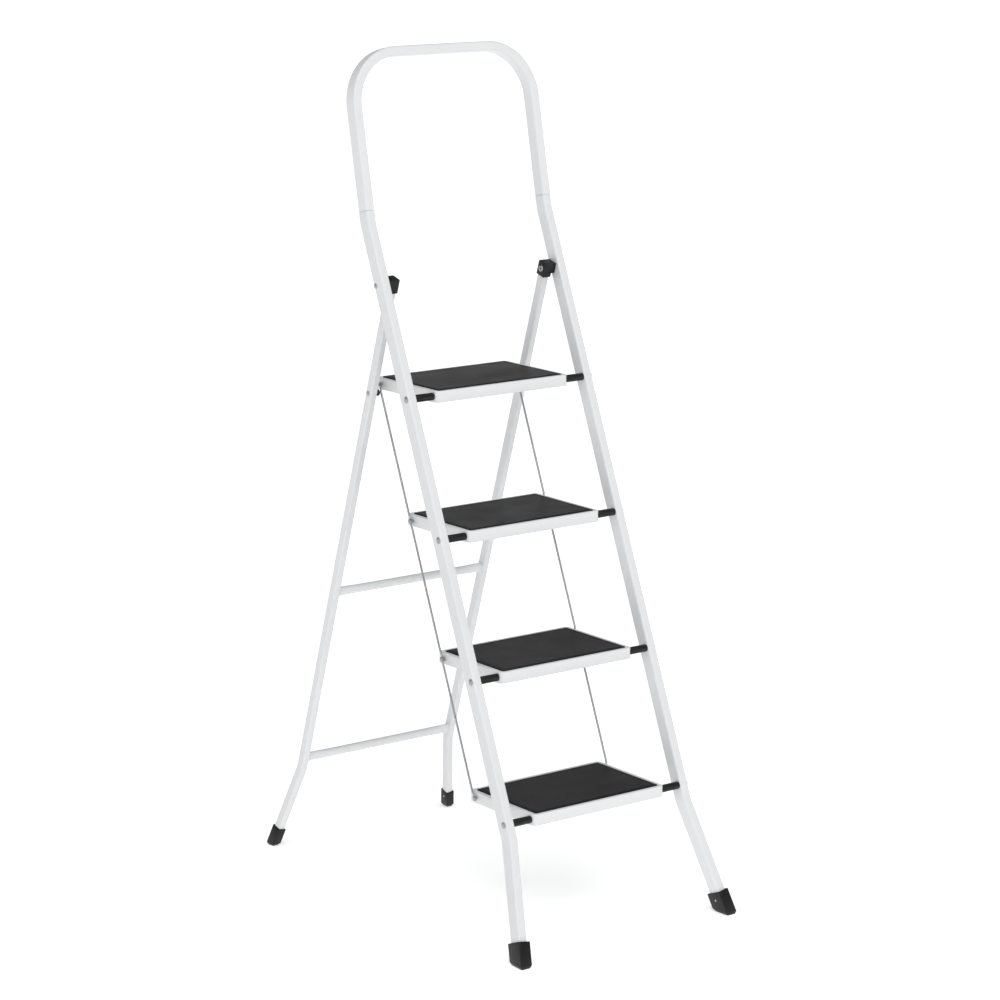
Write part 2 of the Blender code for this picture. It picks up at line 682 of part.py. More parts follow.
def build():
    clear_scene()
    finishes = make_finishes()
    reach = STILE_X + STILE_WIDTH
    axles = [axle_point(index) for index in range(STEP_COUNT)]
    axle_bores = bore_guide("axle_bore_guide", axles, AXLE_RADIUS + GAP, reach)
    bolt_bore = bore_guide("hinge_bore_guide", [HINGE], HINGE_BOLT_RADIUS + GAP, reach)
    pin_bore = bore_guide("pin_bore_guide", [support_pin_centre()], SUPPORT_PIN_RADIUS + GAP, reach)
    make_hoop(finishes)
    rear = [make_crossbar(level_name, height, finishes) for level_name, height in CROSSBAR_Z.items()]
    for side_name, side in SIDES.items():
        make_stile(side_name, side, finishes, (axle_bores, bolt_bore))
        make_front_foot(side_name, side, finishes)
        make_hinge_bolt(side_name, side, finishes)
        rear += [make_hinge_cap(side_name, side, finishes, bolt_bore),
                 make_rear_leg(side_name, side, finishes, (bolt_bore, pin_bore)),
                 make_rear_foot(side_name, side, finishes),
                 make_support_pin(side_name, side, finishes),
                 make_support_block(side_name, side, finishes, pin_bore)]
    for piece in rear:
        set_origin(piece, HINGE)
    make_steps(finishes)
    make_links(finishes)


build()
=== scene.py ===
import json
from math import atan2, cos, pi, radians, sin, tan

import bmesh
import bpy
from mathutils import Matrix, Vector


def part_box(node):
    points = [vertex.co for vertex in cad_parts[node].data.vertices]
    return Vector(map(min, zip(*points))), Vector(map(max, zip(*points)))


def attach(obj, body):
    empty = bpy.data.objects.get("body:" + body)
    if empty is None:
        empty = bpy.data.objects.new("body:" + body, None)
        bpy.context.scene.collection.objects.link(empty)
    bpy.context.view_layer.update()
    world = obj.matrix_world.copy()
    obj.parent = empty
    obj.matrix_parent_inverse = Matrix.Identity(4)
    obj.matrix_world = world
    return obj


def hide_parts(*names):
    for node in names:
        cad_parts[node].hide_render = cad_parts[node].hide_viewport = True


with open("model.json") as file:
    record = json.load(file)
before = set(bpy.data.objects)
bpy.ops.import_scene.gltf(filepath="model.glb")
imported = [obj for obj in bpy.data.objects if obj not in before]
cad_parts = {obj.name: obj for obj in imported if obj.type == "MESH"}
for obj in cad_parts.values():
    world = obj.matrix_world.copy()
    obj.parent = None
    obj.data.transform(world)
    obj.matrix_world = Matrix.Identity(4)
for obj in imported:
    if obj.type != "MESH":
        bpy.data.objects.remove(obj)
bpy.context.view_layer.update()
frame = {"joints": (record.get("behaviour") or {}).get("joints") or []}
mm = 0.001
noiseLow, noiseHigh = 0.3, 0.7  # most of a noise lies between these
sides = {"left": -1, "right": 1}
xAxis = Vector((1, 0, 0))

# The joints say where the axles, the hinge and the links' pivots are.
joints = {joint["name"]: Vector(joint["pos_m"]) for joint in frame["joints"]}
axles = [joints[f"step_{number}_fold"] for number in range(1, 5)]
hinge = joints["rear_fold"]
climb = axles[3] - axles[0]
stileLean = atan2(climb.y, climb.z)
upStile = climb.normalized()
backStile = Vector((0, upStile.z, -upStile.y))
linkReach = (axles[1] - axles[0]).length
print("frame loaded, steps", round(linkReach / mm, 1), "mm apart along the stiles")


def hexColour(text):
    channels = [int(text[i:i + 2], 16) / 255 for i in (1, 3, 5)]
    return [c / 12.92 if c <= 0.04045 else ((c + 0.055) / 1.055) ** 2.4 for c in channels] + [1.0]


def addNode(tree, kind, settings=None, links=None):
    node = tree.nodes.new(kind)
    for key, value in (settings or {}).items():
        if isinstance(key, str) and hasattr(node, key):
            setattr(node, key, value)
        else:
            node.inputs[key].default_value = value
    for key, source in (links or {}).items():
        tree.links.new(source, node.inputs[key])
    return node


def newMaterial(name):
    material = bpy.data.materials.new(name)
    material.use_nodes = True
    tree = material.node_tree
    shader = tree.nodes["Principled BSDF"]
    where = addNode(tree, "ShaderNodeTexCoord").outputs["Object"]
    return material, tree, shader, where


def perMetre(sizeInMm):
    return 1 / (sizeInMm * mm)  # a noise's scale for features of this size


# Polyester powder coat, sprayed and baked on steel: an even off-white satin skin whose
# slight orange peel breaks up the edge of a reflection.
powderCoat = {"colour": "#e1e2e3", "shade": "#dbdddf", "roughness": (0.30, 0.42), "peel": 1.6, "flow": 22,
              "peelDepth": 0.012, "flowDepth": 0.10}


def makePowderCoat():
    material, tree, shader, where = newMaterial("whitePowderCoatedSteel")
    drift = addNode(tree, "ShaderNodeTexNoise", {"Scale": perMetre(130), "Detail": 3.0}, {"Vector": where})
    tint = addNode(tree, "ShaderNodeMix", {"data_type": "RGBA", 6: hexColour(powderCoat["shade"]),
                                           7: hexColour(powderCoat["colour"])}, {0: drift.outputs["Fac"]})
    tree.links.new(tint.outputs[2], shader.inputs["Base Color"])
    low, high = powderCoat["roughness"]
    cloud = addNode(tree, "ShaderNodeTexNoise", {"Scale": perMetre(35), "Detail": 4.0}, {"Vector": where})
    sheen = addNode(tree, "ShaderNodeMapRange", {1: noiseLow, 2: noiseHigh, 3: low, 4: high},
                    {0: cloud.outputs["Fac"]})
    tree.links.new(sheen.outputs[0], shader.inputs["Roughness"])
    peel = addNode(tree, "ShaderNodeTexNoise", {"Scale": perMetre(powderCoat["peel"]), "Detail": 1.0},
                   {"Vector": where})
    flow = addNode(tree, "ShaderNodeTexNoise", {"Scale": perMetre(powderCoat["flow"]), "Detail": 2.0},
                   {"Vector": where})  # the coat's slow flow, drawn coarser than it is so that it shows
    first = addNode(tree, "ShaderNodeBump", {"Strength": 0.5, "Distance": powderCoat["peelDepth"] * mm},
                    {"Height": peel.outputs["Fac"]})
    second = addNode(tree, "ShaderNodeBump", {"Strength": 0.5, "Distance": powderCoat["flowDepth"] * mm},
                     {"Height": flow.outputs["Fac"], "Normal": first.outputs["Normal"]})
    tree.links.new(second.outputs["Normal"], shader.inputs["Normal"])
    shader.inputs["IOR"].default_value = 1.5
    shader.inputs["Coat Weight"].default_value = 0.12
    shader.inputs["Coat Roughness"].default_value = 0.22
    return material


# Calendered rubber sheet with a fine grit rolled into it: nearly black, dull when seen
# from above and greyer at a low angle.
rubberMat = {"colour": "#131315", "worn": "#1c1c1e", "grit": 1.9, "gritDepth": 0.14,
             "roughness": (0.36, 0.46)}


def makeRubberMat():
    material, tree, shader, where = newMaterial("anthraciteGritRubber")
    patch = addNode(tree, "ShaderNodeTexNoise", {"Scale": perMetre(90), "Detail": 5.0, "Roughness": 0.6},
                    {"Vector": where})
    spread = addNode(tree, "ShaderNodeMapRange", {1: 0.35, 2: 0.70}, {0: patch.outputs["Fac"]})
    tint = addNode(tree, "ShaderNodeMix", {"data_type": "RGBA", 6: hexColour(rubberMat["colour"]),
                                           7: hexColour(rubberMat["worn"])}, {0: spread.outputs[0]})
    grit = addNode(tree, "ShaderNodeTexVoronoi", {"Scale": perMetre(rubberMat["grit"]), "Randomness": 0.85},
                   {"Vector": where})
    dust = addNode(tree, "ShaderNodeMapRange", {1: 0.0, 2: 0.8, 3: 1.12, 4: 0.86},
                   {0: grit.outputs["Distance"]})
    speckled = addNode(tree, "ShaderNodeVectorMath", {"operation": "MULTIPLY"},
                       {0: tint.outputs[2], 1: dust.outputs[0]})
    tree.links.new(speckled.outputs[0], shader.inputs["Base Color"])
    low, high = rubberMat["roughness"]
    sheen = addNode(tree, "ShaderNodeMapRange", {1: noiseLow, 2: noiseHigh, 3: low, 4: high},
                    {0: patch.outputs["Fac"]})
    tree.links.new(sheen.outputs[0], shader.inputs["Roughness"])
    bump = addNode(tree, "ShaderNodeBump", {"Strength": 0.55, "Distance": rubberMat["gritDepth"] * mm,
                                            "invert": True}, {"Height": grit.outputs["Distance"]})
    tree.links.new(bump.outputs["Normal"], shader.inputs["Normal"])
    shader.inputs["IOR"].default_value = 1.52
    shader.inputs["Specular IOR Level"].default_value = 0.1  # the grit shades most of the gloss
    return material


# Injection-moulded polypropylene, black, from a spark-eroded tool: a soft lengthwise
# highlight with a faint grain in it.
mouldedPlastic = {"colour": "#111112", "bloom": "#19191a", "grain": 0.9, "grainDepth": 0.05,
                  "roughness": (0.34, 0.46)}


def makeMouldedPlastic():
    material, tree, shader, where = newMaterial("blackMouldedPolypropylene")
    bloom = addNode(tree, "ShaderNodeTexNoise", {"Scale": perMetre(14), "Detail": 4.0}, {"Vector": where})
    tint = addNode(tree, "ShaderNodeMix", {"data_type": "RGBA", 6: hexColour(mouldedPlastic["colour"]),
                                           7: hexColour(mouldedPlastic["bloom"])}, {0: bloom.outputs["Fac"]})
    tree.links.new(tint.outputs[2], shader.inputs["Base Color"])
    low, high = mouldedPlastic["roughness"]
    sheen = addNode(tree, "ShaderNodeMapRange", {1: noiseLow, 2: noiseHigh, 3: low, 4: high},
                    {0: bloom.outputs["Fac"]})
    tree.links.new(sheen.outputs[0], shader.inputs["Roughness"])
    grain = addNode(tree, "ShaderNodeTexNoise", {"Scale": perMetre(mouldedPlastic["grain"]), "Detail": 2.0},
                    {"Vector": where})
    bump = addNode(tree, "ShaderNodeBump", {"Strength": 0.35, "Distance": mouldedPlastic["grainDepth"] * mm},
                   {"Height": grain.outputs["Fac"]})
    tree.links.new(bump.outputs["Normal"], shader.inputs["Normal"])
    shader.inputs["IOR"].default_value = 1.49
    shader.inputs["Specular IOR Level"].default_value = 0.3
    return material


# Bright zinc plate on drawn and headed steel: cool grey metal, a little cloudy, with
# drawing marks that soften its glints.
zincPlate = {"colour": "#c0c2c4", "cloud": "#828588", "roughness": (0.24, 0.40), "marks": 0.7,
             "markDepth": 0.02}


def makeZincPlate():
    material, tree, shader, where = newMaterial("brightZincPlatedSteel")
    cloud = addNode(tree, "ShaderNodeTexNoise", {"Scale": perMetre(5), "Detail": 5.0, "Roughness": 0.65},
                    {"Vector": where})
    tint = addNode(tree, "ShaderNodeMix", {"data_type": "RGBA", 6: hexColour(zincPlate["cloud"]),
                                           7: hexColour(zincPlate["colour"])}, {0: cloud.outputs["Fac"]})
    tree.links.new(tint.outputs[2], shader.inputs["Base Color"])
    low, high = zincPlate["roughness"]
    sheen = addNode(tree, "ShaderNodeMapRange", {1: noiseLow, 2: noiseHigh, 3: low, 4: high},
                    {0: cloud.outputs["Fac"]})
    tree.links.new(sheen.outputs[0], shader.inputs["Roughness"])
    marks = addNode(tree, "ShaderNodeTexNoise", {"Scale": perMetre(zincPlate["marks"]), "Detail": 2.0},
                    {"Vector": where})
    bump = addNode(tree, "ShaderNodeBump", {"Strength": 0.3, "Distance": zincPlate["markDepth"] * mm},
                   {"Height": marks.outputs["Fac"]})
    tree.links.new(bump.outputs["Normal"], shader.inputs["Normal"])
    shader.inputs["Metallic"].default_value = 1.0
    return material


finishes = {"white": makePowderCoat(), "mat": makeRubberMat(), "plastic": makeMouldedPlastic(),
            "zinc": makeZincPlate()}
print("materials made")


def frameAt(origin, along, depth):
    along = along.normalized()
    depth = (depth - along * depth.dot(along)).normalized()
    across = depth.cross(along)
    return Matrix.Translation(origin) @ Matrix((across, depth, along)).transposed().to_4x4()


def slid(place, distance):
    return place @ Matrix.Translation((0, 0, distance))


def levelled(place, height):
    # The same section slid along the piece until it lies level at this height.
    along = place.to_3x3().col[2]
    across = place.to_3x3().col[0]
    depth = place.to_3x3().col[1]
    origin = place.translation + along * ((height - place.translation.z) / along.z)
    across = across - along * (across.z / along.z)
    depth = depth - along * (depth.z / along.z)
    turn = Matrix((across, depth, along)).transposed().to_4x4()
    return Matrix.Translation(origin) @ turn


def bentFrames(points, radius, steps, depthOf):
    first = (points[1] - points[0]).normalized()
    stations = [(points[0], first)]
    for before, corner, after in zip(points, points[1:], points[2:]):
        into = (corner - before).normalized()
        out = (after - corner).normalized()
        turn = into.angle(out)
        start = corner - into * radius * tan(turn / 2)
        axis = into.cross(out).normalized()
        centre = start + axis.cross(into) * radius
        for step in range(steps + 1):
            spin = Matrix.Rotation(turn * step / steps, 3, axis)
            stations.append((centre + spin @ (start - centre), spin @ into))
    stations.append((points[-1], (points[-1] - points[-2]).normalized()))
    return [frameAt(point, along, depthOf(along)) for point, along in stations]


def roundedFace(bm, width, depth, corner, place, segments):
    made = bmesh.ops.create_grid(bm, x_segments=1, y_segments=1, size=0.5)
    bmesh.ops.scale(bm, vec=(width, depth, 1), verts=made["verts"])
    made = bmesh.ops.bevel(bm, geom=made["verts"], offset=corner, offset_type="OFFSET", segments=segments,
                           profile=0.5, affect="VERTICES", material=-1)
    face = made["verts"][0].link_faces[0]
    bmesh.ops.transform(bm, matrix=place, verts=list(face.verts))
    return face


def tubeFace(bm, tube, segments):
    return roundedFace(bm, tube["width"] * mm, tube["depth"] * mm, tube["corner"] * mm, Matrix.Identity(4),
                       segments)


def ovalFace(bm, halfWidth, halfDepth, place, segments=32):
    made = bmesh.ops.create_circle(bm, cap_ends=True, radius=1, segments=segments)
    bmesh.ops.scale(bm, vec=(halfWidth, halfDepth, 1), verts=made["verts"])
    face = made["verts"][0].link_faces[0]
    bmesh.ops.transform(bm, matrix=place, verts=list(face.verts))
    return face


def drawnOut(bm, face, isEnd):
    # Extrudes a face and gives the new one. The old one stays only where it closes an end.
    moved = bmesh.ops.extrude_face_region(bm, geom=[face])["geom"]
    ahead = [part for part in moved if isinstance(part, bmesh.types.BMFace)][0]
    if not isEnd:
        bmesh.ops.delete(bm, geom=[face], context="FACES_ONLY")
    return ahead


def travel(corners, spots):
    return sum((vert.co - spot).length_squared for vert, spot in zip(corners, spots))


def bridged(bm, faces):
    # A solid through a row of faces. The first is extruded from one to the next, which are
    # only patterns for its corners: bridging loops would twist between flat rims.
    face = faces[0]
    for count, pattern in enumerate(faces[1:]):
        face = drawnOut(bm, face, count == 0)
        corners, targets = list(face.verts), [vert.co.copy() for vert in pattern.verts]
        turns = [targets[turn:] + targets[:turn] for turn in range(len(targets))]
        nearest = min(turns, key=lambda spots: travel(corners, spots))
        for vert, spot in zip(corners, nearest):
            vert.co = spot
        bmesh.ops.delete(bm, geom=list(pattern.verts), context="VERTS")


def swept(bm, face, frames):
    bmesh.ops.transform(bm, matrix=frames[0], verts=list(face.verts))
    for count, (near, far) in enumerate(zip(frames, frames[1:])):
        face = drawnOut(bm, face, count == 0)
        bmesh.ops.transform(bm, matrix=far @ near.inverted(), verts=list(face.verts))
    return face


def turned(bm, profile, centre, steps, closed=False):
    # profile: (distance along X, radius) in millimetres, spun about the X axis through centre
    verts = [bm.verts.new(centre + Vector((x * mm, 0, radius * mm))) for x, radius in profile]
    pairs = list(zip(verts, verts[1:]))
    if closed:
        pairs.append((verts[-1], verts[0]))
    edges = [bm.edges.new(pair) for pair in pairs]
    bmesh.ops.spin(bm, geom=verts + edges, cent=centre, axis=xAxis, angle=2 * pi, steps=steps, use_merge=True)


def softened(bm, edges, offset):
    bmesh.ops.bevel(bm, geom=edges, offset=offset, offset_type="OFFSET", segments=2, profile=0.5,
                    affect="EDGES", material=-1, clamp_overlap=True)


mergeDistance = 0.001 * mm


def finishPiece(bm, name, body, slotName, nodes=(), sharp=38):
    bmesh.ops.remove_doubles(bm, verts=bm.verts, dist=mergeDistance)
    bmesh.ops.recalc_face_normals(bm, faces=bm.faces)
    opened = sum(1 for edge in bm.edges if not edge.is_manifold)
    if opened:
        print("open edges on", name, opened)
    mesh = bpy.data.meshes.new(name)
    bm.to_mesh(mesh)
    bm.free()
    mesh.shade_smooth()
    mesh.set_sharp_from_angle(angle=radians(sharp))
    piece = bpy.data.objects.new(name, mesh)
    bpy.context.scene.collection.objects.link(piece)
    mesh.materials.append(finishes[slotName])
    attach(piece, body)
    if nodes:
        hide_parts(*nodes)
    return piece


frontTube = {"width": 18, "depth": 28, "corner": 3.5, "halfSpan": 200.6, "setback": 5.8, "endHeight": 12,
             "splayHeight": 202.0, "splay": 0.1795, "splayRadius": 70, "bendHeight": 1254.0,
             "bendRadius": 75, "jointHeight": 1276.5, "jointEdge": 0.4}
hoopShape = {"lean": 11.2, "topHeight": 1553.5, "radius": 96, "jointGap": 0.3}

upHoop = Vector((0, sin(radians(hoopShape["lean"])), cos(radians(hoopShape["lean"]))))
backHoop = Vector((0, upHoop.z, -upHoop.y))


def stileY(height):
    setback = frontTube["setback"] * mm / cos(stileLean)
    return axles[0].y + setback + (height - axles[0].z) * tan(stileLean)


def stilePoint(side, heightInMm):
    spread = max(0, frontTube["splayHeight"] - heightInMm) * frontTube["splay"]
    return Vector((side * (frontTube["halfSpan"] + spread) * mm, stileY(heightInMm * mm), heightInMm * mm))


def hoopPoint(side, heightInMm):
    bend = frontTube["bendHeight"]
    y = stileY(bend * mm) + (heightInMm - bend) * mm * tan(radians(hoopShape["lean"]))
    return Vector((side * frontTube["halfSpan"] * mm, y, heightInMm * mm))


def behind(along):
    return -xAxis.cross(along)


def makeStile(sideName, side):
    splay, bend = frontTube["splayHeight"], frontTube["bendHeight"]
    middle = (splay + bend) / 2
    lowPoints = [stilePoint(side, height) for height in (frontTube["endHeight"], splay, middle)]
    highPoints = [stilePoint(side, middle), hoopPoint(side, bend), hoopPoint(side, frontTube["jointHeight"])]
    lower = bentFrames(lowPoints, frontTube["splayRadius"] * mm, 10, behind)
    upper = bentFrames(highPoints, frontTube["bendRadius"] * mm, 8, behind)
    bm = bmesh.new()
    top = swept(bm, tubeFace(bm, frontTube, 6), lower + upper[1:])
    softened(bm, list(top.edges), frontTube["jointEdge"] * mm)
    finishPiece(bm, sideName + "Stile", "front_frame", "white", [sideName + "_stile"])


def makeHoop():
    joint = frontTube["jointHeight"]
    gap = upHoop * hoopShape["jointGap"] * mm
    corners = [hoopPoint(-1, joint) + gap, hoopPoint(-1, hoopShape["topHeight"]),
               hoopPoint(1, hoopShape["topHeight"]), hoopPoint(1, joint) + gap]
    frames = bentFrames(corners, hoopShape["radius"] * mm, 24, lambda along: backHoop)
    bm = bmesh.new()
    last = swept(bm, tubeFace(bm, frontTube, 6), frames)
    first = [f for f in bm.faces if len(f.verts) > 4 and f != last]
    softened(bm, list(last.edges) + list(first[0].edges), frontTube["jointEdge"] * mm)
    finishPiece(bm, "hoopRail", "front_frame", "white", ["hoop"])


for sideName, side in sides.items():
    makeStile(sideName, side)
makeHoop()
print("stiles and hoop made")


footShape = {
    "front": {"tube": (18, 28), "wall": (3.0, 3.8), "corner": 1.5, "height": 39, "end": 12},
    "rear": {"tube": (14, 17.6), "wall": (1.6, 2.2), "corner": 1.2, "height": 38, "end": 12},
}
footEdges = {"soleInset": 3.0, "soleRise": 5.5, "soleEdge": 0.6, "soleTrim": 0.6, "edgeTrim": 0.4,
             "leastCorner": 0.5, "lip": 0.7, "pocketGap": 0.35, "pocketCorner": 3.0, "pocketDepth": 4}
footPin = {"radius": 2.1, "height": 24, "sunk": 2, "rim": 0.1, "shoulder": 0.5, "crown": 0.65, "dimple": 0.45}
rearTube = {"width": 14, "depth": 17.6, "corner": 2.5, "halfSpan": 174.8, "lean": 17.5, "splayHeight": 165.0,
            "splay": 0.222, "splayRadius": 80, "topRise": 11, "endHeight": 12}

rearLean = radians(rearTube["lean"])
upLeg = Vector((0, -sin(rearLean), cos(rearLean)))
backLeg = Vector((0, cos(rearLean), sin(rearLean)))


def legPoint(side, heightInMm):
    spread = max(0, rearTube["splayHeight"] - heightInMm) * rearTube["splay"]
    y = hinge.y + (hinge.z - heightInMm * mm) * tan(rearLean)
    return Vector((side * (rearTube["halfSpan"] + spread) * mm, y, heightInMm * mm))


def makeFoot(which, sideName, side):
    shape = footShape[which]
    pointAt, depth, splay = {"front": (stilePoint, backStile, frontTube["splayHeight"]),
                             "rear": (legPoint, backLeg, rearTube["splayHeight"])}[which]
    end = pointAt(side, shape["end"])
    along = (pointAt(side, splay) - end).normalized()
    top = frameAt(end + along * ((shape["height"] * mm - end.z) / along.z), along, depth)
    width = shape["tube"][0] + 2 * shape["wall"][0]
    length = shape["tube"][1] + 2 * shape["wall"][1]
    corner = shape["corner"]
    edge, rise, inset = (footEdges[key] for key in ("soleEdge", "soleRise", "soleInset"))
    lip, pocket = footEdges["lip"], footEdges["pocketGap"]
    bm = bmesh.new()

    def ringFace(shrink, place, radius=corner):
        return roundedFace(bm, (width - 2 * shrink) * mm, (length - 2 * shrink) * mm,
                           max(radius, footEdges["leastCorner"]) * mm, place, 4)

    def pocketFace(place):
        return roundedFace(bm, (shape["tube"][0] + 2 * pocket) * mm, (shape["tube"][1] + 2 * pocket) * mm,
                           footEdges["pocketCorner"] * mm, place, 4)

    bridged(bm, [ringFace(inset + edge, levelled(top, 0), corner - footEdges["soleTrim"]),
                 ringFace(inset, levelled(top, edge * mm), corner - footEdges["edgeTrim"]),
                 ringFace(edge / 2, levelled(top, (rise - edge) * mm)),
                 ringFace(0, levelled(top, (rise + edge) * mm)),
                 ringFace(0, slid(top, -lip * mm)),
                 ringFace(lip * 0.3, slid(top, -lip * 0.3 * mm)),
                 ringFace(lip, top),
                 pocketFace(top),
                 pocketFace(slid(top, -footEdges["pocketDepth"] * mm))])
    finishPiece(bm, which + sideName.title() + "Foot", which + "_frame", "plastic",
                [which + "_" + sideName + "_foot"], 30)
    makeFootPin(which, sideName, side, pointAt(side, footPin["height"]), width / 2)


def makeFootPin(which, sideName, side, centre, face):
    # a small headed pin in the inner face keeps the cap on its tube
    inward, radius = -side, footPin["radius"]
    profile = [(face - footPin["sunk"], 0), (face - footPin["sunk"], radius * 0.8),
               (face + footPin["rim"], radius), (face + footPin["shoulder"], radius * 0.8),
               (face + footPin["crown"], radius * 0.35), (face + footPin["dimple"], 0)]
    bm = bmesh.new()
    turned(bm, [(inward * x, r) for x, r in profile], centre, 20)
    finishPiece(bm, which + sideName.title() + "FootPin", which + "_frame", "zinc")


for sideName, side in sides.items():
    makeFoot("front", sideName, side)
    makeFoot("rear", sideName, side)
print("feet made")


crossbarShape = {"upper": 536.5, "lower": 185.0, "radius": 8.0, "flatEnd": (6.2, 9.4), "flat": 18, "taper": 30,
                 "weld": 1.5, "weldLength": 2.6, "gap": 0.3}


def makeRearLeg(sideName, side):
    top = hinge + xAxis * side * rearTube["halfSpan"] * mm + upLeg * rearTube["topRise"] * mm
    points = [legPoint(side, rearTube["endHeight"]), legPoint(side, rearTube["splayHeight"]), top]
    bm = bmesh.new()
    frames = bentFrames(points, rearTube["splayRadius"] * mm, 10, lambda along: backLeg)
    swept(bm, tubeFace(bm, rearTube, 5), frames)
    finishPiece(bm, sideName + "RearLeg", "rear_frame", "white", [sideName + "_rear_leg"])


def makeCrossbar(levelName):
    # round tube pressed to an oval at its ends, with the weld's bead round each
    centre = legPoint(0, crossbarShape[levelName])
    reach = rearTube["halfSpan"] - rearTube["width"] / 2 - crossbarShape["gap"]
    flatX, flatY = crossbarShape["flatEnd"]
    radius, bead = crossbarShape["radius"], crossbarShape["weld"]
    flat, taper, length = crossbarShape["flat"], crossbarShape["taper"], crossbarShape["weldLength"]
    half = [(reach, flatX + bead, flatY + bead),
            (reach - length * 0.5, flatX + bead * 0.75, flatY + bead * 0.75),
            (reach - length, flatX, flatY), (reach - flat, flatX, flatY)]
    for share in (0.25, 0.5, 0.75, 1.0):
        ease = share * share * (3 - 2 * share)
        half.append((reach - flat - taper * share, flatX + (radius - flatX) * ease,
                     flatY + (radius - flatY) * ease))
    spots = [(-x, a, b) for x, a, b in half] + [(x, a, b) for x, a, b in reversed(half)]
    bm = bmesh.new()
    bridged(bm, [ovalFace(bm, a * mm, b * mm, frameAt(centre + xAxis * x * mm, xAxis, upLeg))
                 for x, a, b in spots])
    finishPiece(bm, levelName + "Crossbar", "rear_frame", "white", [levelName + "_crossbar"])


for sideName, side in sides.items():
    makeRearLeg(sideName, side)
for levelName in ("upper", "lower"):
    makeCrossbar(levelName)
print("rear frame made")


capShape = {"wall": 1.8, "topRise": 13.0, "bottomDrop": 14.0, "bossDrop": 7.0, "corner": 1.6, "edge": 0.9,
            "lip": 0.5, "legGap": 0.3, "socketDepth": 4, "socketCorner": 1.9, "bossStart": 0.2, "stileGap": 0.3,
            "bossEdge": 0.5, "bossInset": 0.05}
hingePin = {"shank": 3.0, "outerHead": 4.6, "outerHeight": 2.0, "innerRing": 6.0, "innerHeight": 1.6,
            "hole": 2.6, "outerGap": 0.1, "innerGap": 0.4}


def makeHingeCap(sideName, side):
    base = frameAt(hinge + xAxis * side * rearTube["halfSpan"] * mm, upLeg, backLeg)
    gap = capShape["legGap"]
    clear = capShape["wall"] + gap
    width = rearTube["width"] + 2 * clear
    depth = rearTube["depth"] + 2 * clear
    top, drop, edge = capShape["topRise"], capShape["bottomDrop"], capShape["edge"]
    bm = bmesh.new()

    def ringFace(shrink, height, corner=capShape["corner"]):
        return roundedFace(bm, (width - 2 * shrink) * mm, (depth - 2 * shrink) * mm, corner * mm,
                           slid(base, height * mm), 4)

    bridged(bm, [ringFace(clear - gap, capShape["socketDepth"] - drop, capShape["socketCorner"]),
                 ringFace(clear - gap, -drop, capShape["socketCorner"]), ringFace(capShape["lip"], -drop),
                 ringFace(0, capShape["lip"] - drop), ringFace(0, top - edge),
                 ringFace(edge * 0.3, top - edge * 0.3), ringFace(edge, top, capShape["corner"] - 0.5)])
    # boss that fills the space to the stile
    tall = top + capShape["bossDrop"]
    near = rearTube["halfSpan"] + rearTube["width"] / 2 + capShape["bossStart"]
    far = frontTube["halfSpan"] - frontTube["width"] / 2 - capShape["stileGap"]
    inset, bossEdge = capShape["bossInset"], capShape["bossEdge"]
    middle = hinge + upLeg * (top - tall / 2) * mm
    bossFaces = []
    for x, shrink in ((near, inset), (far - bossEdge, inset), (far, bossEdge)):
        place = frameAt(middle + xAxis * side * x * mm, xAxis * side, backLeg)
        bossFaces.append(roundedFace(bm, (tall - 2 * shrink) * mm, (depth - 2 * shrink) * mm, edge * mm, place,
                                     3))
    bridged(bm, bossFaces)
    finishPiece(bm, sideName + "HingeCap", "rear_frame", "plastic", [sideName + "_hinge_cap"], 30)


def makeHingeBolt(sideName, side):
    # tubular rivet: a low dome outside the stile, a rolled ring with its hole inside the leg
    outer = frontTube["halfSpan"] + frontTube["width"] / 2 + hingePin["outerGap"]
    inner = rearTube["halfSpan"] - rearTube["width"] / 2 - capShape["wall"] - hingePin["innerGap"]
    head, height = hingePin["outerHead"], hingePin["outerHeight"]
    ring, ringHeight, hole, shank = (hingePin[key] for key in ("innerRing", "innerHeight", "hole", "shank"))
    profile = [(inner + 1.5, 0), (inner + 1.5, hole * 0.9), (inner - ringHeight * 0.55, hole),
               (inner - ringHeight * 0.9, hole + 0.5), (inner - ringHeight, hole + 1.2),
               (inner - ringHeight * 0.85, ring - 0.9), (inner - ringHeight * 0.45, ring - 0.2), (inner, ring),
               (inner, shank), (outer, shank), (outer, head), (outer + height * 0.35, head * 0.97),
               (outer + height * 0.7, head * 0.82), (outer + height * 0.93, head * 0.5),
               (outer + height, head * 0.2), (outer + height, 0)]
    bm = bmesh.new()
    turned(bm, [(side * x, radius) for x, radius in profile], hinge, 32)
    finishPiece(bm, sideName + "HingeBolt", "front_frame", "zinc", [sideName + "_hinge_bolt"])


for sideName, side in sides.items():
    makeHingeCap(sideName, side)
    makeHingeBolt(sideName, side)
print("hinge made")


trayShape = {"halfWidth": 150.6, "front": -11.0, "rear": 182.0, "top": 10.0, "bottom": -11.0, "corner": 9.0,
             "edge": 1.6, "sheet": 1.2, "hem": 0.6, "recessEdge": 0.5, "recessGap": 0.5, "leastCorner": 1}
matShape = {"halfWidth": 141.2, "front": -4.2, "rear": 172.2, "top": 11.2, "seat": 8.6, "lift": 0.3,
            "corner": 4.0, "leastCorner": 0.8, "edge": 0.7, "border": 5.5, "groove": 1.5, "grooveDepth": 0.6}


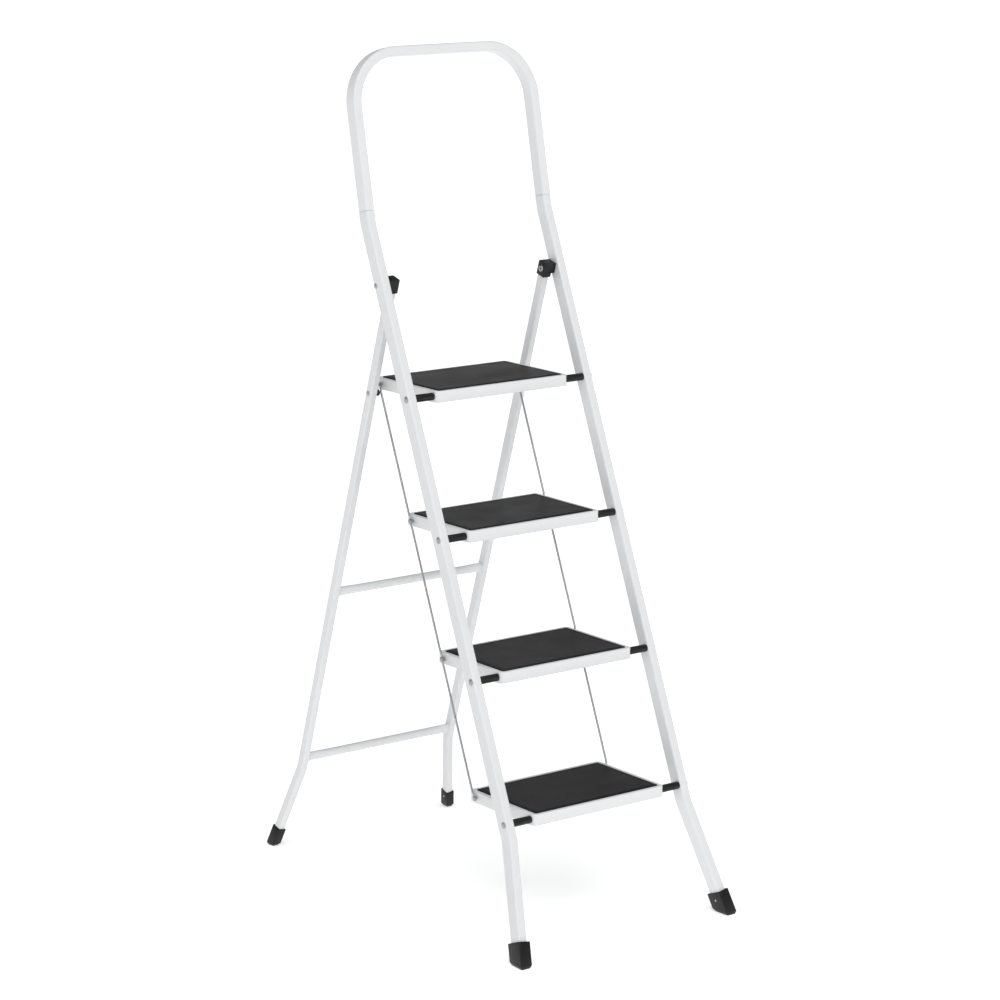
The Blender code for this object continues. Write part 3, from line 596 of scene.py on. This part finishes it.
def makeTray(number):
    axle = axles[number - 1]
    tray, mat = trayShape, matShape
    length, width = tray["rear"] - tray["front"], 2 * tray["halfWidth"]
    middle = (tray["rear"] + tray["front"]) / 2
    matMiddle = (mat["rear"] + mat["front"]) / 2
    gap = tray["recessGap"]
    bm = bmesh.new()

    def sheetFace(shrink, height):
        place = Matrix.Translation(axle + Vector((0, middle * mm, height * mm)))
        return roundedFace(bm, (width - 2 * shrink) * mm, (length - 2 * shrink) * mm,
                           max(tray["corner"] - shrink, tray["leastCorner"]) * mm, place, 8)

    def recessFace(grow, height):
        place = Matrix.Translation(axle + Vector((0, matMiddle * mm, height * mm)))
        return roundedFace(bm, (2 * mat["halfWidth"] + 2 * gap + 2 * grow) * mm,
                           (mat["rear"] - mat["front"] + 2 * gap + 2 * grow) * mm,
                           (mat["corner"] + gap + grow) * mm, place, 8)

    hem, sheet, edge, soft = (tray[key] for key in ("hem", "sheet", "edge", "recessEdge"))
    top, bottom, seat = tray["top"], tray["bottom"], mat["seat"]
    faces = [sheetFace(sheet, seat - sheet), sheetFace(sheet, bottom + hem),
             sheetFace(sheet * 0.75, bottom + hem * 0.2), sheetFace(sheet * 0.5, bottom),
             sheetFace(sheet * 0.2, bottom + hem * 0.2), sheetFace(0, bottom + hem)]
    for turn in (0, 22.5, 45, 67.5, 90):
        angle = radians(turn)
        faces.append(sheetFace(edge * (1 - cos(angle)), top - edge + edge * sin(angle)))
    faces += [recessFace(soft, top), recessFace(soft * 0.3, top - soft * 0.3), recessFace(0, top - soft),
              recessFace(0, seat)]
    bridged(bm, faces)
    finishPiece(bm, f"stepTray{number}", f"step_{number}", "white", [f"step_tray_{number}"])


def makeMat(number):
    axle = axles[number - 1]
    mat = matShape
    length, width = mat["rear"] - mat["front"], 2 * mat["halfWidth"]
    middle = (mat["rear"] + mat["front"]) / 2
    bm = bmesh.new()

    def matFace(shrink, height):
        place = Matrix.Translation(axle + Vector((0, middle * mm, height * mm)))
        return roundedFace(bm, (width - 2 * shrink) * mm, (length - 2 * shrink) * mm,
                           max(mat["corner"] - shrink * 0.5, mat["leastCorner"]) * mm, place, 6)

    edge, border, groove, depth, top = (mat[key] for key in ("edge", "border", "groove", "grooveDepth", "top"))
    bridged(bm, [matFace(0, mat["seat"] + mat["lift"]), matFace(0, top - edge),
                 matFace(edge * 0.3, top - edge * 0.3), matFace(edge, top), matFace(border, top),
                 matFace(border + groove * 0.3, top - depth), matFace(border + groove * 0.7, top - depth),
                 matFace(border + groove, top)])
    finishPiece(bm, f"stepMat{number}", f"step_{number}", "mat", [f"step_mat_{number}"], 25)


axleShape = {"shank": 3.5, "washer": 6.2, "washerHeight": 0.7, "head": 5.0, "height": 2.0, "dimple": 0.3,
             "gap": 0.05}
sleeveShape = {"radius": 7.0, "bore": 3.8, "edge": 0.8, "trayGap": 0.3, "stileGap": 0.2}


def makeAxle(number):
    shape = axleShape
    face = frontTube["halfSpan"] + frontTube["width"] / 2
    tall = shape["height"] + shape["dimple"]
    washer, washerTop, start = shape["washer"], face + shape["washerHeight"], face + shape["gap"]
    half = [(face + tall - shape["dimple"], 0), (face + tall - 0.1, 1.0), (face + tall, 1.6),
            (face + tall * 0.93, 2.8), (face + tall * 0.75, 4.0), (face + tall * 0.5, 4.8),
            (washerTop, shape["head"]), (washerTop, washer - 0.2), (face + shape["washerHeight"] * 0.6, washer),
            (start, washer), (start, shape["shank"])]
    profile = [(-x, radius) for x, radius in half] + [(x, radius) for x, radius in reversed(half)]
    bm = bmesh.new()
    turned(bm, profile, axles[number - 1], 32)
    finishPiece(bm, f"stepAxle{number}", "front_frame", "zinc", [f"step_axle_{number}"])


def makeSleeve(number, sideName, side):
    bore, radius, edge = (sleeveShape[key] for key in ("bore", "radius", "edge"))
    near = trayShape["halfWidth"] + sleeveShape["trayGap"]
    far = frontTube["halfSpan"] - frontTube["width"] / 2 - sleeveShape["stileGap"]
    profile = [(near, bore), (near, radius - edge), (near + edge * 0.3, radius - edge * 0.3),
               (near + edge, radius), (far - edge, radius), (far - edge * 0.3, radius - edge * 0.3),
               (far, radius - edge), (far, bore)]
    bm = bmesh.new()
    turned(bm, [(side * x, r) for x, r in profile], axles[number - 1], 40, closed=True)
    finishPiece(bm, f"{sideName}Sleeve{number}", "front_frame", "plastic", [f"{sideName}_sleeve_{number}"])


for number in range(1, 5):
    makeTray(number)
    makeMat(number)
    makeAxle(number)
    for sideName, side in sides.items():
        makeSleeve(number, sideName, side)
print("steps made")


linkShape = {"eyeRadius": 5.0, "eyeThickness": 2.4, "eyeEdge": 0.5, "bore": 2.5, "wire": 2.0, "wireX": 156.0,
             "setOff": 2.2, "gap": 0.3}
rivetShape = {"shank": 2.2, "head": 4.0, "height": 1.6, "gap": 0.15, "studCrown": 0.8}
supportShape = {"pinFromAxle": (0, 159.0, -15.0), "pin": 3.0, "head": 4.5, "headHeight": 0.9, "headGap": 0.1,
                "tipSpread": 0.6, "innerX": 159.6, "radius": 6.5, "boreGap": 0.2, "legGap": 0.2, "edge": 0.8,
                "studEnd": 165.5}
saddleShape = {"halfWidth": 4.6, "start": 0.4, "fullAt": 0.9, "end": 0.5, "seat": 0.9}


def eyeX(layer):
    link = linkShape
    return (trayShape["halfWidth"] + link["setOff"] + (layer + 1) * link["gap"]
            + (layer + 0.5) * link["eyeThickness"])


def topLayer(index):
    return 0 if index in (0, 3) else 1


def pivotOf(index):
    swing = joints["left_wire_1_swing"]
    return Vector((0, swing.y - axles[0].y, swing.z - axles[0].z)) + axles[index]


def makeLink(sideName, side, index):
    # wire hammered flat towards its eyes
    link = linkShape
    low = pivotOf(index)
    highLayer = topLayer(index + 1)
    wireX, wire, bore, rim = (link[key] for key in ("wireX", "wire", "bore", "eyeRadius"))
    half, edge = link["eyeThickness"] / 2, link["eyeEdge"]
    reach = linkReach / mm
    # distance from the eye, share of the way out to the wire, half thickness, half width
    shapes = [(3.4, 0, half, 3.0), (6.0, 0, half, 2.8), (9.0, 0.45, half * 1.4, 2.4), (13.0, 1, wire, wire)]
    spots = [(run, eyeX(0) + (wireX - eyeX(0)) * share, a, b) for run, share, a, b in shapes]
    spots += [(reach - run, eyeX(highLayer) + (wireX - eyeX(highLayer)) * share, a, b)
              for run, share, a, b in reversed(shapes)]
    bm = bmesh.new()
    faces = []
    for run, x, a, b in spots:
        place = frameAt(low + upStile * run * mm + xAxis * side * x * mm, upStile, backStile)
        faces.append(ovalFace(bm, a * mm, b * mm, place, 20))
    bridged(bm, faces)
    for run, layer in ((0, 0), (linkReach, highLayer)):
        x = eyeX(layer)
        eye = [(x - half, bore), (x - half, rim - edge), (x - half + edge, rim), (x + half - edge, rim),
               (x + half, rim - edge), (x + half, bore)]
        turned(bm, [(side * u, radius) for u, radius in eye], low + upStile * run, 28, closed=True)
    finishPiece(bm, f"{sideName}Link{index + 1}", f"{sideName}_wire_{index + 1}", "zinc",
                [f"{sideName}_link_{index + 1}"])


def domeProfile(x, radius, height):
    return [(x, radius), (x + height * 0.4, radius * 0.95), (x + height * 0.75, radius * 0.75),
            (x + height * 0.95, radius * 0.4), (x + height, 0)]


def makeRivet(number, sideName, side):
    shank, head, height, gap = (rivetShape[key] for key in ("shank", "head", "height", "gap"))
    outer = eyeX(topLayer(number - 1)) + linkShape["eyeThickness"] / 2 + gap
    inner = trayShape["halfWidth"] - trayShape["sheet"] - gap
    innerHead = [(2 * inner - x, radius) for x, radius in domeProfile(inner, head, height)]
    if number == 4:
        outer = supportShape["studEnd"]
        outerHead = domeProfile(outer, shank, rivetShape["studCrown"])
    else:
        outerHead = domeProfile(outer, head, height)
    profile = innerHead[::-1] + [(inner, shank), (outer, shank)] + outerHead
    bm = bmesh.new()
    turned(bm, [(side * x, radius) for x, radius in profile], pivotOf(number - 1), 24)
    finishPiece(bm, f"{sideName}Rivet{number}", f"step_{number}", "zinc", [f"{sideName}_rivet_{number}"])


supportCentre = axles[3] + Vector(supportShape["pinFromAxle"]) * mm
supportNear = supportShape["innerX"]
supportFar = rearTube["halfSpan"] - rearTube["width"] / 2 - supportShape["legGap"]


def makeSupportPin(sideName, side):
    pin, height, gap = (supportShape[key] for key in ("pin", "headHeight", "headGap"))
    outer = rearTube["halfSpan"] + rearTube["width"] / 2 + gap
    inner = supportNear - gap
    tip = [(2 * inner - x, radius) for x, radius in domeProfile(inner, pin + supportShape["tipSpread"], height)]
    profile = tip[::-1] + [(inner, pin), (outer, pin)] + domeProfile(outer, supportShape["head"], height * 2)
    bm = bmesh.new()
    turned(bm, [(side * x, radius) for x, radius in profile], supportCentre, 28)
    finishPiece(bm, sideName + "SupportPin", "rear_frame", "zinc", [sideName + "_support_pin"])


def makeSupportSpacer(sideName, side):
    near, far, edge, radius = supportNear, supportFar, supportShape["edge"], supportShape["radius"]
    bore = supportShape["pin"] + supportShape["boreGap"]
    profile = [(near, bore), (near, radius - edge), (near + edge * 0.3, radius - edge * 0.3),
               (near + edge, radius), (far - edge, radius), (far, radius - edge), (far, bore)]
    bm = bmesh.new()
    turned(bm, [(side * x, r) for x, r in profile], supportCentre, 36, closed=True)
    finishPiece(bm, sideName + "SupportSpacer", "rear_frame", "plastic", [sideName + "_support_block"])


def makeSupportSaddle(sideName, side):
    # sits on the spacer, under the top step's stud
    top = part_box(sideName + "_support_block")[1].z
    bottom = supportCentre.z + supportShape["radius"] * saddleShape["seat"] * mm
    edge, halfWidth = supportShape["edge"], saddleShape["halfWidth"]
    spots = ((supportNear + saddleShape["start"], edge * 0.5), (supportNear + saddleShape["fullAt"], 0),
             (supportFar - saddleShape["end"], 0), (supportFar, edge * 0.5))
    bm = bmesh.new()
    faces = []
    for x, shrink in spots:
        place = frameAt(Vector((side * x * mm, supportCentre.y, (bottom + top) / 2)), xAxis, Vector((0, 1, 0)))
        faces.append(roundedFace(bm, top - bottom - 2 * shrink * mm, 2 * (halfWidth - shrink) * mm, edge * mm,
                                 place, 4))
    bridged(bm, faces)
    finishPiece(bm, sideName + "SupportSaddle", "rear_frame", "white")


for sideName, side in sides.items():
    for index in range(3):
        makeLink(sideName, side, index)
    for number in range(1, 5):
        makeRivet(number, sideName, side)
    makeSupportPin(sideName, side)
    makeSupportSpacer(sideName, side)
    makeSupportSaddle(sideName, side)
print("links and pivots made")


cameraSetup = {"place": (-3.5487, -4.7266, 2.0179), "turn": -37.107, "tilt": 12.242, "roll": 0.101,
               "lens": 117.87, "sensor": 36, "farthest": 500}


def makeCamera():
    turn, tilt, roll = (radians(cameraSetup[key]) for key in ("turn", "tilt", "roll"))
    back = Vector((sin(turn) * cos(tilt), -cos(turn) * cos(tilt), sin(tilt)))
    right = Vector((cos(turn), sin(turn), 0))
    up = back.cross(right)
    tiltedRight = right * cos(roll) + up * sin(roll)
    tiltedUp = up * cos(roll) - right * sin(roll)
    data = bpy.data.cameras.new("camera")
    data.lens = cameraSetup["lens"]
    data.sensor_width = cameraSetup["sensor"]
    data.clip_end = cameraSetup["farthest"]
    camera = bpy.data.objects.new("camera", data)
    turnMatrix = Matrix((tiltedRight, tiltedUp, back)).transposed().to_4x4()
    camera.matrix_world = Matrix.Translation(cameraSetup["place"]) @ turnMatrix
    bpy.context.scene.collection.objects.link(camera)
    bpy.context.scene.camera = camera


studio = {"floor": "#f7f7f7", "floorFibre": "#f9f9f9", "floorGlow": 0.47, "floorSize": 160,
          "sky": {"horizon": 1.0, "zenith": 0.15, "from": 7, "to": 16},
          "key": {"from": (-0.25, -0.50, 0.83), "power": 2.05, "softness": 70},
          "fill": {"from": (0.9, -0.35, 0.8), "power": 0.12, "softness": 70}}


def makeFloor():
    material, tree, shader, where = newMaterial("matteStudioPaper")
    fibre = addNode(tree, "ShaderNodeTexNoise", {"Scale": perMetre(400), "Detail": 3.0}, {"Vector": where})
    tint = addNode(tree, "ShaderNodeMix", {"data_type": "RGBA", 6: hexColour(studio["floor"]),
                                           7: hexColour(studio["floorFibre"])}, {0: fibre.outputs["Fac"]})
    tree.links.new(tint.outputs[2], shader.inputs["Base Color"])
    shader.inputs["Roughness"].default_value = 0.95
    shader.inputs["Specular IOR Level"].default_value = 0.1
    shader.inputs["Emission Color"].default_value = (1, 1, 1, 1)  # a table lit from below
    shader.inputs["Emission Strength"].default_value = studio["floorGlow"]
    bm = bmesh.new()
    bmesh.ops.create_grid(bm, x_segments=1, y_segments=1, size=studio["floorSize"] / 2)
    mesh = bpy.data.meshes.new("studioFloor")
    bm.to_mesh(mesh)
    bm.free()
    mesh.materials.append(material)
    floor = bpy.data.objects.new("studioFloor", mesh)
    bpy.context.scene.collection.objects.link(floor)


def makeLight(name):
    setup = studio[name]
    data = bpy.data.lights.new(name, "SUN")
    data.energy = setup["power"]
    data.angle = radians(setup["softness"])
    light = bpy.data.objects.new(name, data)
    light.rotation_euler = Vector(setup["from"]).to_track_quat("Z", "Y").to_euler()
    bpy.context.scene.collection.objects.link(light)


def makeSky():
    # bright along the horizon and dim overhead, as round a white paper sweep
    sky = studio["sky"]
    world = bpy.data.worlds.new("studioSky")
    world.use_nodes = True
    tree = world.node_tree
    direction = addNode(tree, "ShaderNodeTexCoord").outputs["Generated"]
    height = addNode(tree, "ShaderNodeSeparateXYZ", None, {0: direction}).outputs[2]
    low, high = (sin(radians(sky[key])) for key in ("from", "to"))
    fade = addNode(tree, "ShaderNodeMapRange", {"interpolation_type": "SMOOTHSTEP", 1: low, 2: high,
                                                3: sky["horizon"], 4: sky["zenith"]}, {0: height})
    tree.links.new(fade.outputs[0], tree.nodes["Background"].inputs["Strength"])
    tree.nodes["Background"].inputs["Color"].default_value = (1, 1, 1, 1)
    bpy.context.scene.world = world


makeCamera()
makeFloor()
makeLight("key")
makeLight("fill")
makeSky()
bpy.context.scene.view_settings.view_transform = "Standard"
print("camera, floor and light set")
